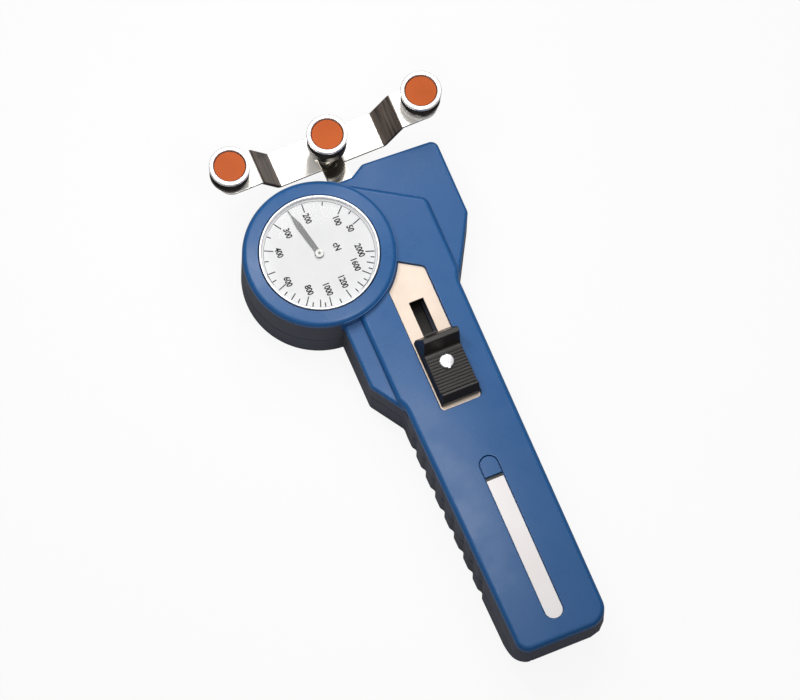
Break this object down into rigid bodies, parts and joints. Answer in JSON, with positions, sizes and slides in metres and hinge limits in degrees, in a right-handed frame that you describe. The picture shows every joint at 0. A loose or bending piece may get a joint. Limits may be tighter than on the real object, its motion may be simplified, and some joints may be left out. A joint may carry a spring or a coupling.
{
  "type": "dial tension gauge",
  "caption": "Hand-held gauge that bends a running line over grooved rollers and shows its tension on a round dial; a thumb slider moves the guide rollers.",
  "frame": {"origin": "on the flat back of the case, under the pointer's axis", "axes": "+X across the handle towards its long straight side, +Y along the handle towards the rollers, +Z out of the dial"},
  "size_m": [0.0941, 0.2197, 0.0415],
  "materials": {
    "blue_plastic": "fine satin moulded blue",
    "slate_plastic": "satin moulded slate grey",
    "black_plastic": "satin moulded black",
    "steel": "polished and brushed steel",
    "brass": "machined brass",
    "silver": "satin silver",
    "dark_steel": "blackened steel",
    "orange_plastic": "orange plastic",
    "dial_white": "white printed dial",
    "needle_grey": "grey painted needle",
    "hub_white": "white hub",
    "clear": "clear lens",
    "card_white": "blank white label strip"
  },
  "bodies": {
    "case": {"front_cover": "blue_plastic", "housing": "slate_plastic", "rear_cover": "slate_plastic", "cover_screw_1": "steel", "cover_screw_2": "steel", "cover_screw_3": "steel", "cover_screw_4": "steel", "cover_screw_5": "steel", "lens": "clear", "lens_ring": "silver", "dial_face": "dial_white", "slot_plate": "silver", "label_strip": "card_white", "label_retainer": "blue_plastic", "rating_plate": "silver", "movement_back_plate": "brass", "movement_front_plate": "brass", "movement_pillar_1": "brass", "movement_pillar_2": "brass", "movement_pillar_3": "brass", "movement_screw_1": "steel", "movement_screw_2": "steel", "movement_screw_3": "steel", "arm_pivot": "steel", "measuring_spring": "steel", "spring_block": "brass", "hairspring": "steel", "return_spring": "steel"},
    "carriage": {"guide_bracket": "steel", "slide_bar": "dark_steel", "bracket_screw_1": "steel", "bracket_screw_2": "steel", "thumb_slider": "black_plastic", "slider_screw": "steel", "guide_left_axle": "steel", "guide_right_axle": "steel", "guide_left_nut": "steel", "guide_right_nut": "steel"},
    "guide_left": {"guide_left_roller": "dark_steel", "guide_left_rim": "steel", "guide_left_cap": "orange_plastic", "guide_left_bearing": "steel"},
    "guide_right": {"guide_right_roller": "dark_steel", "guide_right_rim": "steel", "guide_right_cap": "orange_plastic", "guide_right_bearing": "steel"},
    "arm": {"measuring_arm": "steel", "measuring_axle": "steel"},
    "measuring": {"measuring_roller": "dark_steel", "measuring_rim": "steel", "measuring_cap": "orange_plastic", "measuring_bearing": "steel"},
    "intermediate": {"intermediate_gear": "brass", "intermediate_arbor": "brass"},
    "indicator": {"pointer_arbor": "brass", "pointer": "needle_grey", "pointer_hub": "hub_white"}
  },
  "joints": [
    {"name": "carriage_slide", "type": "slide", "parent": "case", "child": "carriage", "axis": [0, 1, 0], "range_m": [0, 0.0132], "stiffness_N_per_m": 150, "springref_m": -0.005, "deforming": ["return_spring"]},
    {"name": "guide_left_spin", "type": "hinge", "parent": "carriage", "child": "guide_left", "pos_m": [-0.0192, 0.04035, 0.0367], "axis": [0, 0, 1], "continuous": true},
    {"name": "guide_right_spin", "type": "hinge", "parent": "carriage", "child": "guide_right", "pos_m": [0.0577, 0.04035, 0.0367], "axis": [0, 0, 1], "continuous": true},
    {"name": "arm_pivot_hinge", "type": "hinge", "parent": "case", "child": "arm", "pos_m": [0.047, 0.014, 0.0201], "axis": [0, 0, 1], "range_deg": [-1.31, 3.17], "stiffness_Nm_per_rad": 8, "springref_deg": -1.31, "deforming": ["measuring_spring"]},
    {"name": "measuring_spin", "type": "hinge", "parent": "arm", "child": "measuring", "pos_m": [0.019, 0.038, 0.0367], "axis": [0, 0, 1], "continuous": true},
    {"name": "intermediate_spin", "type": "hinge", "parent": "case", "child": "intermediate", "pos_m": [0.01357, -0.00501, 0.0185], "axis": [0, 0, 1], "range_deg": [-47.7, 19.8]},
    {"name": "indicator_spin", "type": "hinge", "parent": "case", "child": "indicator", "pos_m": [0, 0, 0.0263], "axis": [0, 0, 1], "range_deg": [-98.5, 238.5], "deforming": ["hairspring"]}
  ],
  "couplings": [
    {"joint": "intermediate_spin", "follows": "arm_pivot_hinge", "ratio": -15},
    {"joint": "indicator_spin", "follows": "arm_pivot_hinge", "ratio": 75}
  ]
}
